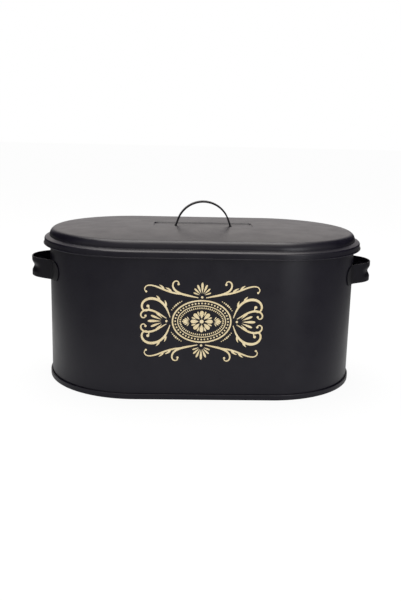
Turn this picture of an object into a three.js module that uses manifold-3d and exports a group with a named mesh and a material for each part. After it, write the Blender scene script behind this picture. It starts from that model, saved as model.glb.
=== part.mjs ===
// An oval bread box of painted sheet steel with a lift-off lid: a wall with a rolled rim, a base double-seamed
// to it, a pressed lid with a strap handle standing in a recess, and a pressed strap handle at each end.
// Lengths are in millimetres. X runs along the box, Y from front to back, and Z up from the table.

import * as THREE from 'three';
import { mergeVertices } from 'three/addons/utils/BufferGeometryUtils.js';
import Module from 'manifold-3d';

const wasm = await Module();
wasm.setup();

// Sizes of the whole box
const bodyLength = 340; // outside the wall, end to end
const bodyDepth = 196; // outside the wall, front to back
const rimHeight = 157.9; // table to the top of the rolled rim
const sheet = 0.5; // steel sheet of the wall, the base and the lid

// The rim, rolled outwards
const rimCurlRadius = 1.9; // to the middle of the sheet
const rimCurlTurn = THREE.MathUtils.degToRad(290);

// The double seam that joins the base to the wall
const seamHeight = 6;
const foldGap = 0.12; // between two folded layers
const hookClearance = 0.3; // from a hook's end to the fold it points into

// The base panel
const panelHeight = 4; // table to the underside of the panel
const panelBendRadius = 1.2;
const beadInset = 16; // from the wall to the middle of the panel's oval bead
const beadWidth = 7;
const beadRise = 1.2;
const beadTurn = THREE.MathUtils.degToRad(30);

// The grooved seam that closes the wall at the back
const sideSeamWidth = 7;
const sideSeamProud = 1;
const sideSeamBevel = 0.8;
const sideSeamEndGap = 1.5; // from the seam's ends to the rim and to the base seam

// The lid
const lidRest = 0.3; // between the sloping ledge and the rim it sits on
const lidClearance = 1.8; // between the rim and the inside of the skirt
const skirtDrop = 7.4; // from the rim's top down to the bottom of the hem
const lidRise = 13.4; // from the rim's top up to the level middle of the lid
const crownMargin = 0.6; // level sheet left round the recess before the crown starts to fall
const crownTurn = THREE.MathUtils.degToRad(5.8); // how steep the top is where the rounded edge starts
const domeSide = 0.15; // the short upright stretch below the rounded edge
const domeOverhang = 0.3; // the dome's side, past the wall's outer face
const valleyRadius = 1;
const ledgeFall = THREE.MathUtils.degToRad(22); // how steeply the ledge falls outwards
const ledgeCornerRadius = 1.6;
const hemRadius = 0.5;
const hemTurn = THREE.MathUtils.degToRad(250);

// The recess that the lid's handle stands in
const recessLength = 112;
const recessWidth = 36;
const recessCorner = 8;
const recessDepth = 1.2;
const recessBendRadius = 0.8;
const recessWallTurn = THREE.MathUtils.degToRad(45);
const recessBrim = 1.4; // level sheet round the recess's edge, where it joins the top

// The lid's strap handle: its legs pass through two slots in the recess and its feet fold out under the lid
const lidHandleWidth = 8;
const lidHandleThickness = 1.8;
const lidHandleHeight = 27.8; // recess floor to the top of the arch
const lidHandleSpan = 64; // between the starts of the two feet
const lidHandleLegTurn = THREE.MathUtils.degToRad(70);
const lidHandleFootRadius = 1.2;
const lidHandleFootLength = 8;
const slotClearance = 0.4; // all round a leg in its slot
const weldGap = 0.1; // between a strap's foot and the sheet it is spot-welded to

// The strap handles at the ends
const gripReach = 21.1; // from the wall to the outside of the grip
const gripHeight = 21.5;
const gripDrop = 34.1; // from the rim's top down to the middle of the strap
const gripThickness = 1;
const gripFootTip = 56; // from the end of the box to a foot's tip, measured round the wall
const gripRoot = 34.5; // from the end of the box to where the strap leaves the wall, round the wall
const gripRootBend = 4.5; // how far the root bend reaches each way
const gripLean = THREE.MathUtils.degToRad(32); // each leg leans in towards the other
const gripLegLength = 8; // from the root bend to the start of the grip's curve
const grooveWidth = 11;
const grooveDepth = 3.8;
const grooveRun = 34; // length of the groove along the grip, its faded ends included
const grooveFade = 12; // length of each faded end

// Fineness of the round stretches
const planSteps = 10; // round a quarter of the oval, seen from above
const bendSteps = 2; // round a right-angled bend in the sheet
const archSteps = 24; // along the lid handle's arch
const gripSteps = 30; // along a grip, between its round feet
const gripRows = 10; // up a grip's strap
const footTurns = [75, 55, 35, 15].map(THREE.MathUtils.degToRad); // columns in a grip's half-round foot

const rightAngle = Math.PI / 2;
const cutOverrun = 2; // how far a cutting solid stands past what it cuts

// Sizes that follow from those above
const endRadius = bodyDepth / 2;
const straightHalf = (bodyLength - bodyDepth) / 2; // from the middle to the centre of a half-round end
const layerPitch = sheet + foldGap; // from one folded layer to the next
const wallLine = endRadius - sheet / 2; // the wall's own centre line, from an end's centre
const crownFlat = recessWidth / 2 + recessBrim + crownMargin; // half the width of the lid's level middle
const curlCentreHeight = rimHeight - sheet / 2 - rimCurlRadius;
const gripCentreHeight = rimHeight - gripDrop;
const seamTop = seamHeight - sheet / 2; // the outer seam fold's centre line
const domeLine = endRadius + domeOverhang - sheet / 2;
const skirtLine = endRadius + 2 * rimCurlRadius + lidClearance + sheet / 2;
const lidTop = rimHeight + lidRise; // top face of the lid's level middle
const recessFloor = lidTop - recessDepth; // top face of the recess
const lidFootLine = recessFloor - sheet - weldGap - lidHandleThickness / 2; // middle of the folded feet

const blackPaint = new THREE.MeshStandardMaterial({ color: 0x1d1d20, roughness: 0.42, metalness: 0 });
const paintedStrap = new THREE.MeshStandardMaterial({ color: 0x161618, roughness: 0.38, metalness: 0 });

// The centre line of a bent strip, followed from a point with a heading: runs straight ahead, and bends that
// turn left when the turn is positive.
class Strip {
  constructor(out, up, heading) {
    this.heading = heading;
    this.points = [new THREE.Vector2(out, up)];
  }

  get end() {
    return this.points[this.points.length - 1];
  }

  turn(angle) {
    this.heading += angle;
    return this;
  }

  run(length) {
    const step = new THREE.Vector2(Math.cos(this.heading), Math.sin(this.heading)).multiplyScalar(length);
    this.points.push(this.end.clone().add(step));
    return this;
  }

  bend(radius, turn, steps = Math.max(1, Math.ceil((bendSteps * Math.abs(turn)) / rightAngle))) {
    const side = this.heading + Math.sign(turn) * rightAngle;
    const centre = new THREE.Vector2(Math.cos(side), Math.sin(side)).multiplyScalar(radius).add(this.end);
    for (let step = 1; step <= steps; step++) {
      const angle = side + Math.PI + (turn * step) / steps;
      this.points.push(new THREE.Vector2(Math.cos(angle), Math.sin(angle)).multiplyScalar(radius).add(centre));
    }
    this.heading += turn;
    return this;
  }

  // The strip's closed outline: up one face and back down the other.
  outline(thickness) {
    const left = [];
    const right = [];
    this.points.forEach((point, index) => {
      const before = this.points[Math.max(index - 1, 0)];
      const after = this.points[Math.min(index + 1, this.points.length - 1)];
      const arrive = (index ? point.clone().sub(before) : after.clone().sub(point)).normalize();
      const leave = (point === this.end ? arrive.clone() : after.clone().sub(point)).normalize();
      const along = arrive.clone().add(leave).normalize();
      const reach = thickness / 2 / along.dot(leave);
      const across = new THREE.Vector2(-along.y, along.x).multiplyScalar(reach);
      left.push(point.clone().add(across));
      right.push(point.clone().sub(across));
    });
    return [...right, ...left.reverse()];
  }
}

// Sweeps a closed outline, drawn as distance out and height, round a rectangle with half sides as given. The
// turn at each corner makes it a rounded rectangle, or an oval when the rectangle has no width. An outline that
// starts and ends on the rectangle closes over it, as a panel does.
function sweepRound(outline, halfLength, halfWidth = 0) {
  const corners = [
    [1, -1],
    [1, 1],
    [-1, 1],
    [-1, -1],
  ].map(([x, y]) => [x * halfLength, y * halfWidth]);
  const stations = corners.flatMap((corner, quarter) =>
    Array.from({ length: planSteps + 1 }, (_, step) => {
      const angle = rightAngle * (quarter - 1 + step / planSteps);
      return { corner, x: Math.cos(angle), y: Math.sin(angle) };
    }),
  );
  const place = ({ corner, x, y }, point) => [corner[0] + x * point.x, corner[1] + y * point.x, point.y];
  const positions = [];
  const addTriangle = (a, b, c) => {
    const same = (one, other) => one.every((value, axis) => value === other[axis]);
    if (!same(a, b) && !same(b, c) && !same(c, a)) positions.push(...a, ...b, ...c);
  };
  stations.forEach((station, index) => {
    const next = stations[(index + 1) % stations.length];
    outline.forEach((point, rank) => {
      const above = outline[(rank + 1) % outline.length];
      if (point.x === 0 && above.x === 0) return;
      addTriangle(place(station, point), place(next, point), place(next, above));
      addTriangle(place(station, point), place(next, above), place(station, above));
    });
  });
  if (halfWidth && outline[0].x === 0) {
    const [bottom, top] = [outline[0], outline[outline.length - 1]].map(({ y }) => corners.map((xy) => [...xy, y]));
    addTriangle(bottom[2], bottom[1], bottom[0]);
    addTriangle(bottom[3], bottom[2], bottom[0]);
    addTriangle(top[0], top[1], top[2]);
    addTriangle(top[0], top[2], top[3]);
  }
  const geometry = new THREE.BufferGeometry();
  geometry.setAttribute('position', new THREE.Float32BufferAttribute(positions, 3));
  return mergeVertices(geometry);
}

// An upright block, round-cornered in plan.
function roundPrism(length, width, corner, bottom, top) {
  const outline = [
    new THREE.Vector2(0, bottom),
    new THREE.Vector2(corner, bottom),
    new THREE.Vector2(corner, top),
    new THREE.Vector2(0, top),
  ];
  return sweepRound(outline, length / 2 - corner, width / 2 - corner);
}

function solid(geometry) {
  const bare = geometry.clone();
  bare.deleteAttribute('normal');
  bare.deleteAttribute('uv');
  const merged = mergeVertices(bare);
  return new wasm.Manifold(
    new wasm.Mesh({
      numProp: 3,
      vertProperties: merged.attributes.position.array,
      triVerts: new Uint32Array(merged.index.array),
    }),
  );
}

function surface(manifold) {
  const mesh = manifold.getMesh();
  const geometry = new THREE.BufferGeometry();
  geometry.setAttribute('position', new THREE.Float32BufferAttribute(mesh.vertProperties, mesh.numProp));
  geometry.setIndex([...mesh.triVerts]);
  return geometry;
}

function piece(name, geometry, material) {
  geometry.computeVertexNormals();
  const mesh = new THREE.Mesh(geometry, material);
  mesh.name = name;
  return mesh;
}

// The wall: one sheet from the hook in the base seam, up the side and out round the rolled rim.
function bodyWall() {
  const hookLine = wallLine + 2 * layerPitch;
  const foldHeight = sheet / 2 + 2 * layerPitch;
  const hookEnd = seamHeight - sheet - hookClearance;
  const strip = new Strip(hookLine, hookEnd, -rightAngle)
    .run(hookEnd - foldHeight)
    .bend(layerPitch, -2 * rightAngle)
    .run(curlCentreHeight - foldHeight)
    .bend(rimCurlRadius, -rimCurlTurn);
  const wall = solid(sweepRound(strip.outline(sheet), straightHalf));
  return piece('body_wall', surface(wall.add(sideSeam())), blackPaint);
}

// The ridge where the wall's two edges hook into each other, at the middle of the back.
function sideSeam() {
  const bottom = seamHeight + sideSeamEndGap;
  const top = curlCentreHeight - rimCurlRadius - sideSeamEndGap;
  const ridge = new THREE.Shape();
  ridge.moveTo(-sideSeamWidth / 2, wallLine);
  ridge.lineTo(sideSeamWidth / 2, wallLine);
  ridge.lineTo(sideSeamWidth / 2, endRadius);
  ridge.lineTo(sideSeamWidth / 2 - sideSeamBevel, endRadius + sideSeamProud);
  ridge.lineTo(sideSeamBevel - sideSeamWidth / 2, endRadius + sideSeamProud);
  ridge.lineTo(-sideSeamWidth / 2, endRadius);
  const options = { depth: top - bottom, bevelEnabled: false };
  return solid(new THREE.ExtrudeGeometry(ridge, options).translate(0, 0, bottom));
}

// The base: a panel with an oval bead, a wall down to the table, and the fold that hooks over the wall's hook.
function basePanel() {
  const chuckLine = wallLine - layerPitch;
  const panelLine = panelHeight + sheet / 2;
  const beadStart = chuckLine - beadInset - beadWidth / 2;
  const beadSlope = beadRise / Math.sin(beadTurn);
  const beadLevel = beadWidth - (2 * beadRise) / Math.tan(beadTurn);
  const hookEnd = sheet + layerPitch + hookClearance;
  const strip = new Strip(0, panelLine, 0)
    .run(beadStart)
    .turn(beadTurn)
    .run(beadSlope)
    .turn(-beadTurn)
    .run(beadLevel)
    .turn(-beadTurn)
    .run(beadSlope)
    .turn(beadTurn)
    .run(chuckLine - panelBendRadius - beadStart - beadWidth)
    .bend(panelBendRadius, -rightAngle)
    .run(panelLine - panelBendRadius - sheet / 2 - layerPitch)
    .bend(layerPitch, rightAngle)
    .run(2 * layerPitch)
    .bend(layerPitch, rightAngle)
    .run(seamTop - 2 * layerPitch - sheet / 2)
    .bend(layerPitch, 2 * rightAngle)
    .run(seamTop - layerPitch - hookEnd);
  return piece('base_panel', sweepRound(strip.outline(sheet), straightHalf), blackPaint);
}

// The height of the ledge's centre line where it is this far out. The ledge falls outwards and lies on the rolled
// rim, so it is a tangent round the rim's curl.
function ledgeHeight(out) {
  const offset = rimCurlRadius + sheet + lidRest;
  const curlLine = wallLine + rimCurlRadius;
  return curlCentreHeight + offset / Math.cos(ledgeFall) - Math.tan(ledgeFall) * (out - curlLine);
}

// The lid's section from its middle out: level, crowned, round the dome's edge, down to the valley, out along the
// ledge and down the skirt to the hem. The two radii make the crown and the edge end at the dome's foot.
function lidStrip() {
  const ledgeBend = rightAngle - ledgeFall;
  const valleyCut = valleyRadius * Math.tan(ledgeBend / 2);
  const cornerCut = ledgeCornerRadius * Math.tan(ledgeBend / 2);
  const topLine = lidTop - sheet / 2;
  const across = domeLine - crownFlat;
  const down = topLine - ledgeHeight(domeLine) - valleyCut - domeSide;
  const sine = Math.sin(crownTurn);
  const cosine = Math.cos(crownTurn);
  const share = 1 / (sine + cosine - 1);
  const crownRadius = (across * cosine - down * (1 - sine)) * share;
  const edgeRadius = (down * sine - across * (1 - cosine)) * share;
  const hemLine = rimHeight - skirtDrop + sheet / 2 + hemRadius;
  return new Strip(0, topLine, 0)
    .run(crownFlat)
    .bend(crownRadius, -crownTurn, 3 * bendSteps)
    .bend(edgeRadius, crownTurn - rightAngle, 3 * bendSteps)
    .run(domeSide)
    .bend(valleyRadius, ledgeBend)
    .run((skirtLine - domeLine) / Math.cos(ledgeFall) - valleyCut - cornerCut)
    .bend(ledgeCornerRadius, -ledgeBend)
    .run(ledgeHeight(skirtLine) - cornerCut - hemLine)
    .bend(hemRadius, hemTurn);
}

// The recess's section from its middle out: level floor, sloping wall, and a brim that lies in the lid's top.
function recessStrip() {
  const sine = Math.sin(recessWallTurn);
  const cosine = Math.cos(recessWallTurn);
  const wallSlope = (recessDepth - 2 * recessBendRadius * (1 - cosine)) / sine;
  const wallReach = 2 * recessBendRadius * sine + wallSlope * cosine;
  return new Strip(0, recessFloor - sheet / 2, 0)
    .run(recessCorner - wallReach)
    .bend(recessBendRadius, recessWallTurn)
    .run(wallSlope)
    .bend(recessBendRadius, -recessWallTurn)
    .run(recessBrim);
}

// The lid: the pressed sheet, its top opened where the recess is, the recess joined in, and the two slots cut.
function lidPanel() {
  const below = recessFloor - sheet - cutOverrun;
  const above = lidTop + cutOverrun;
  const openingSize = [recessLength, recessWidth].map((size) => size + recessBrim);
  const opening = solid(roundPrism(...openingSize, recessCorner + recessBrim / 2, below, above));
  const panSides = [recessLength, recessWidth].map((size) => size / 2 - recessCorner);
  const pan = solid(sweepRound(recessStrip().outline(sheet), ...panSides));
  const sheetMetal = solid(sweepRound(lidStrip().outline(sheet), straightHalf)).subtract(opening).add(pan);

  const legSlope = Math.tan(lidHandleLegTurn);
  const bendTop = lidHandleFootRadius * (1 - Math.cos(lidHandleLegTurn));
  const legRise = recessFloor - sheet / 2 - lidFootLine - bendTop;
  const bendRun = lidHandleFootRadius * Math.sin(lidHandleLegTurn);
  const legPlace = lidHandleSpan / 2 - bendRun - legRise / legSlope;
  const legAcross = lidHandleThickness / Math.sin(lidHandleLegTurn) + sheet / legSlope;
  const slotSize = [legAcross + 2 * slotClearance, lidHandleWidth + 2 * slotClearance, above - below];
  const slot = new THREE.BoxGeometry(...slotSize).translate(legPlace, 0, (above + below) / 2);
  const slots = solid(slot).add(solid(slot.clone().rotateZ(Math.PI)));
  return piece('lid_panel', surface(sheetMetal.subtract(slots)), blackPaint);
}

// The lid's handle: a flat strap arched over the recess. The arch's radius and the legs' length follow from the
// span, the height and how steep the legs are.
function lidHandle() {
  const sine = Math.sin(lidHandleLegTurn);
  const cosine = Math.cos(lidHandleLegTurn);
  const across = lidHandleSpan / 2 - lidHandleFootRadius * sine;
  const archTop = recessFloor + lidHandleHeight - lidHandleThickness / 2;
  const rise = archTop - lidFootLine - lidHandleFootRadius * (1 - cosine);
  const archRadius = (across * sine - rise * cosine) / (1 - cosine);
  const leg = (rise * sine) / (1 - cosine) - across;
  const strip = new Strip(-lidHandleSpan / 2 - lidHandleFootLength, lidFootLine, 0)
    .run(lidHandleFootLength)
    .bend(lidHandleFootRadius, lidHandleLegTurn)
    .run(leg)
    .bend(archRadius, -2 * lidHandleLegTurn, archSteps)
    .run(leg)
    .bend(lidHandleFootRadius, lidHandleLegTurn)
    .run(lidHandleFootLength);
  const section = new THREE.Shape(strip.outline(lidHandleThickness));
  const strap = new THREE.ExtrudeGeometry(section, { depth: lidHandleWidth, bevelEnabled: false })
    .translate(0, 0, -lidHandleWidth / 2)
    .rotateX(rightAngle);
  const length = lidHandleSpan + 2 * lidHandleFootLength;
  const [below, above] = [lidFootLine - cutOverrun, archTop + cutOverrun];
  const rounded = roundPrism(length, lidHandleWidth, lidHandleWidth / 2, below, above);
  return piece('lid_handle', surface(solid(strap).intersect(solid(rounded))), paintedStrap);
}

// Half of a grip's centre line in plan, from a foot's tip, round the wall, off it at the root and out to the
// middle of the grip.
function gripPlan() {
  const footRadius = endRadius + weldGap + gripThickness / 2;
  const onWall = (round) => {
    const angle = round / endRadius;
    return new THREE.Vector2(straightHalf + footRadius * Math.cos(angle), footRadius * Math.sin(angle));
  };
  const root = onWall(gripRoot);
  const legWay = new THREE.Vector2(Math.cos(gripLean), -Math.sin(gripLean));
  const legStart = root.clone().addScaledVector(legWay, gripRootBend);
  const legEnd = root.clone().addScaledVector(legWay, gripRootBend + gripLegLength);
  const outside = bodyLength / 2 + gripReach - gripThickness / 2;
  const elbow = root.clone().addScaledVector(legWay, (outside - root.x) / legWay.x);
  const plan = new THREE.Path();
  plan.absarc(straightHalf, 0, footRadius, gripFootTip / endRadius, (gripRoot + gripRootBend) / endRadius, true);
  plan.quadraticCurveTo(root.x, root.y, legStart.x, legStart.y);
  plan.lineTo(legEnd.x, legEnd.y);
  plan.quadraticCurveTo(elbow.x, elbow.y, outside, 0);
  return plan;
}

// A grip: a flat blank with half-round ends, bent round the plan line, with a groove pressed along its middle.
function gripStrap() {
  const plan = gripPlan();
  const planLength = plan.getLength();
  const footRadius = gripHeight / 2;
  const middle = planLength - footRadius;
  const footColumns = footTurns.map((turn) => ({
    along: middle + footRadius * Math.sin(turn),
    half: footRadius * Math.cos(turn),
  }));
  const columns = [
    ...footColumns.map(({ along, half }) => ({ along: -along, half })),
    ...Array.from({ length: gripSteps + 1 }, (_, step) => ({
      along: middle * ((2 * step) / gripSteps - 1),
      half: footRadius,
    })),
    ...footColumns.reverse(),
  ];
  const last = columns.length - 1;
  const blank = new THREE.BoxGeometry(1, 1, 1, last, gripRows, 1);
  const places = blank.attributes.position;
  for (let index = 0; index < places.count; index++) {
    const { along, half } = columns[Math.round((places.getX(index) + 1 / 2) * last)];
    const up = 2 * places.getY(index) * half;
    const share = 1 - Math.abs(along) / planLength;
    const point = plan.getPointAt(share);
    const way = plan.getTangentAt(share);
    const out = places.getZ(index) * gripThickness - groove(along, up);
    const y = point.y + way.x * out;
    places.setXYZ(index, point.x - way.y * out, along < 0 ? -y : y, gripCentreHeight + up);
  }
  const strap = new THREE.BufferGeometry();
  strap.setAttribute('position', places);
  strap.setIndex(blank.index);
  return mergeVertices(strap);
}

// How deep the groove is pressed at a distance along the grip from its middle and a height from its centre.
function groove(along, up) {
  const across = Math.min(Math.abs(up) / (grooveWidth / 2), 1);
  const past = Math.abs(along) - (grooveRun / 2 - grooveFade);
  const fade = THREE.MathUtils.clamp(past / grooveFade, 0, 1);
  return (grooveDepth * (1 + Math.cos(Math.PI * across)) * (1 + Math.cos(Math.PI * fade))) / 4;
}

const breadBox = new THREE.Group();
breadBox.add(bodyWall(), basePanel());
breadBox.add(piece('side_handle_right', gripStrap(), paintedStrap));
breadBox.add(piece('side_handle_left', gripStrap().rotateZ(Math.PI), paintedStrap));
breadBox.add(lidPanel(), lidHandle());

export default breadBox;
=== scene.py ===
# %% [markdown]
# # An oval bread box of black powder-coated steel
#
# A wall with a rolled rim, a base double-seamed to it, a pressed lid with a strap handle in a recess, and a
# pressed strap handle at each end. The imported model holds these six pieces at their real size. This lesson
# remakes each one with finer bends, paints it, and adds the gold print on the front. Everything is in
# metres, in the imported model's own frame: X along the box, Y from front to back, Z up from the table.

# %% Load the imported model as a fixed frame
import math
from contextlib import contextmanager

import bmesh
import bpy
import numpy as np
from mathutils import Euler, Matrix, Vector


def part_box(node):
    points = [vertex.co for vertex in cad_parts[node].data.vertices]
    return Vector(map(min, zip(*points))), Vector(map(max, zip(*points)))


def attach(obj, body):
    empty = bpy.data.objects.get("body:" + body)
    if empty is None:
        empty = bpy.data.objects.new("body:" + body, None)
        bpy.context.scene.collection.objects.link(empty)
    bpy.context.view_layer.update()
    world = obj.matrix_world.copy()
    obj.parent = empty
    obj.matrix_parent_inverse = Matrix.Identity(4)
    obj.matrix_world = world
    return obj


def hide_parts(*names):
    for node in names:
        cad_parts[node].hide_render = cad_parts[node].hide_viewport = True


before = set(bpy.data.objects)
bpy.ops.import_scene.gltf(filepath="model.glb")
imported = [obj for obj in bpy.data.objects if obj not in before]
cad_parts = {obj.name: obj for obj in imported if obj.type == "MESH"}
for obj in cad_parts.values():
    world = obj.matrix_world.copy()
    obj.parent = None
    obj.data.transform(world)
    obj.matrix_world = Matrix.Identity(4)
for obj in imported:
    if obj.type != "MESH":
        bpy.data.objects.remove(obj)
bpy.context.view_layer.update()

MM = 0.001
scene = bpy.context.scene
scene.view_settings.view_transform = "Standard"

# %% [markdown]
# ## The camera
#
# The photograph is a short telephoto view from in front, a little to the left and above the lid. The
# camera's place was found by fitting the oval outlines of the lid and the foot. The picture leans a little
# to the right, so the camera is rolled a little after it is aimed. The angles are in degrees.

# %% Camera
camera_place = Vector((-0.0349, -0.8679, 0.2948))
look_down, look_right, lean = 13.68, 2.246, 1.352
camera_aim = Euler((math.radians(90 - look_down), 0, math.radians(-look_right))).to_matrix()
camera_roll = Matrix.Rotation(math.radians(lean), 3, "Z")
camera = bpy.data.objects.new("camera", bpy.data.cameras.new("camera"))
camera.data.lens = 46.57
camera.data.sensor_width = 36
camera.matrix_world = Matrix.Translation(camera_place) @ (camera_aim @ camera_roll).to_4x4()
scene.collection.objects.link(camera)
scene.camera = camera
print("camera", [round(value, 3) for value in camera_place], "lens", camera.data.lens, "mm")

# %% [markdown]
# ## Sizes
#
# A tin's shape follows from few sizes: the oval it stands on, the sheet and the radii of its bends. The
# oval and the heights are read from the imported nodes, so that the fine pieces fit them. The sheet and the
# bends, which the boxes of the nodes can't tell, are written here once.

# %% Sizes of the box
sheet = 0.5 * MM
curl_radius = 1.9 * MM
wall_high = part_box("body_wall")[1]
end_radius = wall_high.y - 2 * curl_radius
straight_half = wall_high.x - wall_high.y
rim_height = wall_high.z
wall_line = end_radius - sheet / 2
curl_height = rim_height - sheet / 2 - curl_radius
oval = (2 * (straight_half + end_radius), 2 * end_radius)
print("oval", round(oval[0], 4), "by", round(oval[1], 4), "rim at", round(rim_height, 4))

# %% [markdown]
# ## Walking along a strip of sheet
#
# Every pressed or folded piece here has a section that is a bent strip. It could be typed as points, but it
# is clearer to walk along its middle line: straight on for a length, then round a bend. The outline is that
# line, moved half a thickness to each side. Long straight stretches get a guard point near each end, or the
# smooth shading of the bend would bleed over the whole flat.

# %% Strip
guard = 0.3 * MM
bend_step = math.radians(7.5)
right_angle = math.pi / 2


def unit(angle):
    return np.array((math.cos(angle), math.sin(angle)))


class Strip:
    """The middle line of a bent strip as points (out, up), followed from a point with a heading."""

    def __init__(self, out, up, heading):
        self.points = [np.array((out, up), float)]
        self.heading = heading

    def run(self, length):
        stops = (guard, length - guard, length) if length > 4 * guard else (length,)
        start = self.points[-1]
        self.points += [start + stop * unit(self.heading) for stop in stops]
        return self

    def bend(self, radius, turn, step=bend_step):
        """Bends left when the turn is positive."""
        side = self.heading + math.copysign(right_angle, turn)
        centre = self.points[-1] + radius * unit(side)
        count = max(2, math.ceil(abs(turn) / step))
        angles = [side + math.pi + turn * (rank + 1) / count for rank in range(count)]
        self.points += [centre + radius * unit(angle) for angle in angles]
        self.heading += turn
        return self

    def outline(self, thickness):
        """One face of the sheet, then the other one back."""
        line = np.array(self.points)
        ways = np.diff(line, axis=0)
        ways /= np.linalg.norm(ways, axis=1)[:, None]
        leave = np.vstack((ways, ways[-1:]))
        along = np.vstack((ways[:1], ways)) + leave
        along /= np.linalg.norm(along, axis=1)[:, None]
        reach = thickness / 2 / np.sum(along * leave, axis=1)
        across = np.column_stack((-along[:, 1], along[:, 0])) * reach[:, None]
        return np.vstack((line - across, (line + across)[::-1]))


print("a bend of 90 degrees gets", math.ceil(right_angle / bend_step), "steps")

# %% [markdown]
# ## Helpers for nodes
#
# A node tree is built in a script as it is by hand: make a node, set it, link it. The helper add does these
# three at once. The others find their tree by the sockets they are given.

# %% Node helpers
def put(value, socket):
    """Links another node's output to a socket, or sets the socket to a plain value."""
    if isinstance(value, bpy.types.NodeSocket):
        socket.id_data.links.new(value, socket)
    elif value is not None:
        socket.default_value = value


def add(tree, kind, *values, **settings):
    """Adds a node with these settings, fills its inputs in their order, and gives its outputs."""
    made = tree.nodes.new(kind)
    for name, value in settings.items():
        setattr(made, name, value)
    for socket, value in zip(made.inputs, values):
        put(value, socket)
    return made.outputs


def tree_of(values):
    return next(value.id_data for value in values if isinstance(value, bpy.types.NodeSocket))


def maths(operation, *values):
    return add(tree_of(values), "ShaderNodeMath", *values, operation=operation)[0]


def vector(*values):
    return add(tree_of(values), "ShaderNodeCombineXYZ", *values)[0]


def split(value):
    """The X, Y and Z of a vector, by name."""
    return add(value.id_data, "ShaderNodeSeparateXYZ", value)


def spread(value, low, high, start=0.3, end=0.7):
    """Goes from low to high while the value goes from start to end. Noise keeps near a half."""
    return add(value.id_data, "ShaderNodeMapRange", value, start, end, low, high)[0]


def new_tree(name, sizes, counts=()):
    """A tree with inputs for these sizes and counts, between a Geometry and a Material input."""
    tree = bpy.data.node_groups.new(name, "GeometryNodeTree")
    kinds = {"Geometry": "Geometry", **dict.fromkeys(sizes, "Float"), **dict.fromkeys(counts, "Int")}
    for label, kind in {**kinds, "Material": "Material"}.items():
        tree.interface.new_socket(label, in_out="INPUT", socket_type="NodeSocket" + kind)
    tree.interface.new_socket("Geometry", in_out="OUTPUT", socket_type="NodeSocketGeometry")
    return tree, add(tree, "NodeGroupInput")


def end_tree(geometry, given):
    """Ends a tree in Realize Instances and Set Material."""
    tree = geometry.id_data
    real = add(tree, "GeometryNodeRealizeInstances", geometry)[0]
    painted = add(tree, "GeometryNodeSetMaterial", real, None, given["Material"])[0]
    add(tree, "NodeGroupOutput", painted)
    return tree


print("node helpers ready")

# %% [markdown]
# ## Helpers for meshes
#
# When a tree has done its work, the result becomes a plain mesh: doubles are merged so that seams and poles
# close, faces are turned outwards, and edges sharper than a bend are marked sharp.

# %% Mesh helpers
def new_object(name, points=(), edges=(), faces=()):
    mesh = bpy.data.meshes.new(name)
    mesh.from_pydata([tuple(point) for point in points], list(edges), list(faces))
    made = bpy.data.objects.new(name, mesh)
    scene.collection.objects.link(made)
    return made


def chain(places, closed=False):
    """The edges that join points into a line."""
    count = len(places)
    return [(rank, (rank + 1) % count) for rank in range(count if closed else count - 1)]


def run_tree(host, tree, **inputs):
    """Runs a tree on an object, each input set by its socket's identifier."""
    modifier = host.modifiers.new(tree.name, "NODES")
    modifier.node_group = tree
    for item in tree.interface.items_tree:
        if item.in_out == "INPUT" and item.name in inputs:
            modifier[item.identifier] = inputs[item.name]
    return plain(host)


def plain(host):
    """Puts what the modifiers make into the object's own mesh, and removes them."""
    graph = bpy.context.evaluated_depsgraph_get()
    mesh = bpy.data.meshes.new_from_object(host.evaluated_get(graph), depsgraph=graph)
    host.modifiers.clear()
    host.data = mesh
    mesh.name = host.name
    return host


weld_distance = 0.002 * MM
sharp_angle = math.radians(35)


@contextmanager
def edited(mesh):
    """Opens a mesh for editing and writes it back."""
    net = bmesh.new()
    net.from_mesh(mesh)
    yield net
    net.to_mesh(mesh)
    net.free()


def weld(net):
    """Merges doubles and turns the faces outwards."""
    bmesh.ops.remove_doubles(net, verts=net.verts, dist=weld_distance)
    bmesh.ops.dissolve_degenerate(net, edges=net.edges, dist=weld_distance)
    bmesh.ops.recalc_face_normals(net, faces=net.faces)


def close_up(host):
    """Welds a mesh and shades all but its sharp edges smooth."""
    with edited(host.data) as net:
        weld(net)
    host.data.shade_smooth()
    host.data.set_sharp_from_angle(angle=sharp_angle)
    return host


def open_edges(piece):
    """How many edges have other than two faces. A closed skin has none."""
    edges = np.empty(len(piece.data.loops), int)
    piece.data.loops.foreach_get("edge_index", edges)
    return int(np.sum(np.bincount(edges, minlength=len(piece.data.edges)) != 2))


def seat(piece, body, slot, *nodes):
    """The piece moves with a body and stands for its nodes, which are hidden. The slot is not used."""
    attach(piece, body)
    if nodes:
        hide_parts(*nodes)
    print(piece.name, len(piece.data.polygons), "faces,", open_edges(piece), "open edges")
    return piece


print("doubles within", weld_distance, "m merge, sharp edges turn", round(sharp_angle, 2), "or more")

# %% [markdown]
# ## Helpers for materials
#
# A material is a node tree as well. Its patterns come from noise whose lumps have a real size in metres.
# Bumps are chained: each takes the normal that the one before it made, so coarse and fine ones add up.

# %% Material helpers
def empty_tree(owner):
    owner.use_nodes = True
    owner.node_tree.nodes.clear()
    return owner.node_tree


def new_material(name):
    material = bpy.data.materials.new(name)
    return material, empty_tree(material)


def noise(coordinates, size, detail=2.0, roughness=0.5):
    """Noise whose lumps are about this size."""
    kind = "ShaderNodeTexNoise"
    return add(coordinates.id_data, kind, coordinates, None, 1 / size, detail, roughness)[0]


def bump(height, depth, normal=None):
    return add(height.id_data, "ShaderNodeBump", 1.0, depth, None, height, normal)[0]


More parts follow.
